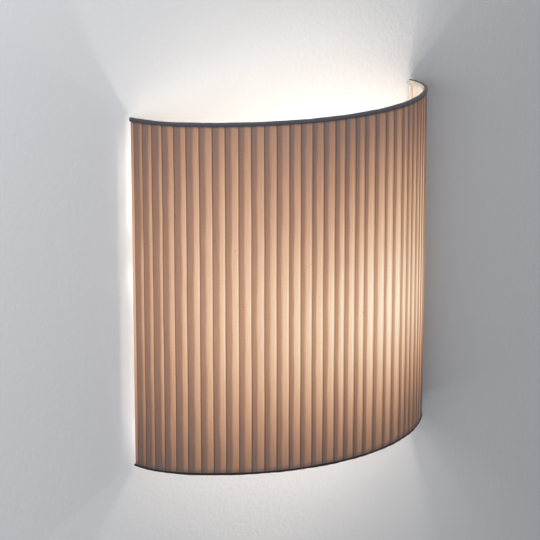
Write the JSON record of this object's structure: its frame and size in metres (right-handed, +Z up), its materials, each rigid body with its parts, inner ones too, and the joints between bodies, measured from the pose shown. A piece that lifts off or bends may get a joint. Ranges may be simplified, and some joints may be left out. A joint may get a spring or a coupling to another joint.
{
  "type": "wall light",
  "caption": "Half-round wall light: a knife-pleated fabric shade with dark bindings that hangs on a steel wall plate and lifts off, over a lampholder with a screw-in lamp.",
  "frame": {"origin": "middle of the back plate's wall face", "axes": "+Y into the wall, square to it; +Z up; +X to the right as seen from the room"},
  "size_m": [0.3008, 0.1016, 0.296],
  "materials": {
    "pleat_cloth": "taupe slub cloth, lit from behind",
    "liner_sheet": "translucent cream sheet",
    "top_binding": "slate woven tape",
    "bottom_binding": "dark woven tape",
    "white_wire": "white dipped wire",
    "opal": "opal diffuser",
    "white_gloss": "white moulding",
    "board": "white-faced aluminium board",
    "nickel": "nickel plate",
    "black_gloss": "black glass-filled insulator",
    "white_paint": "white powder coat",
    "black_matte": "black nylon",
    "zinc": "zinc plate",
    "white_matte": "white moulded resin",
    "steatite": "unglazed insulator",
    "brass": "plain brass",
    "clear_nylon": "natural nylon",
    "tin": "tinned copper",
    "blue_wire": "blue insulation",
    "brown_wire": "brown insulation",
    "earth_wire": "green and yellow insulation"
  },
  "bodies": {
    "wall_part": {"back_plate": "white_paint", "cable_bush": "black_matte", "left_arm": "white_paint", "right_arm": "white_paint", "arm_rivets": "zinc", "shade_pins": "zinc", "holder_bracket": "white_paint", "bracket_screws": "zinc", "holder_nipple": "zinc", "nipple_nut": "zinc", "nipple_washer": "zinc", "holder_cap": "white_matte", "holder_skirt": "white_matte", "holder_core": "steatite", "holder_shell": "nickel", "centre_contact": "brass", "side_contact": "brass", "holder_terminal_screws": "brass", "terminal_block": "clear_nylon", "terminal_inserts": "brass", "terminal_screws": "zinc", "terminal_block_screw": "zinc", "earth_washer": "zinc", "earth_tag": "tin", "earth_screw": "brass", "neutral_lead": "blue_wire", "live_lead": "brown_wire", "earth_lead": "earth_wire"},
    "shade": {"pleated_cloth": "pleat_cloth", "shade_liner": "liner_sheet", "top_trim": "top_binding", "bottom_trim": "bottom_binding", "top_ring": "white_wire", "bottom_ring": "white_wire", "left_upright": "white_wire", "right_upright": "white_wire", "left_sleeve": "white_wire", "right_sleeve": "white_wire"},
    "lamp": {"lamp_globe": "opal", "lamp_housing": "white_gloss", "lamp_led_board": "board", "lamp_cap_shell": "nickel", "lamp_cap_insulator": "black_gloss", "lamp_contact_button": "nickel"}
  },
  "joints": [
    {"name": "shade_lift", "type": "slide", "parent": "wall_part", "child": "shade", "axis": [0, 0, 1], "range_m": [0, 0.22]},
    {"name": "lamp_unscrew", "type": "hinge", "parent": "wall_part", "child": "lamp", "pos_m": [-0.03, -0.05, -0.024], "axis": [1, 0, 0], "range_deg": [-1080, 0]}
  ]
}
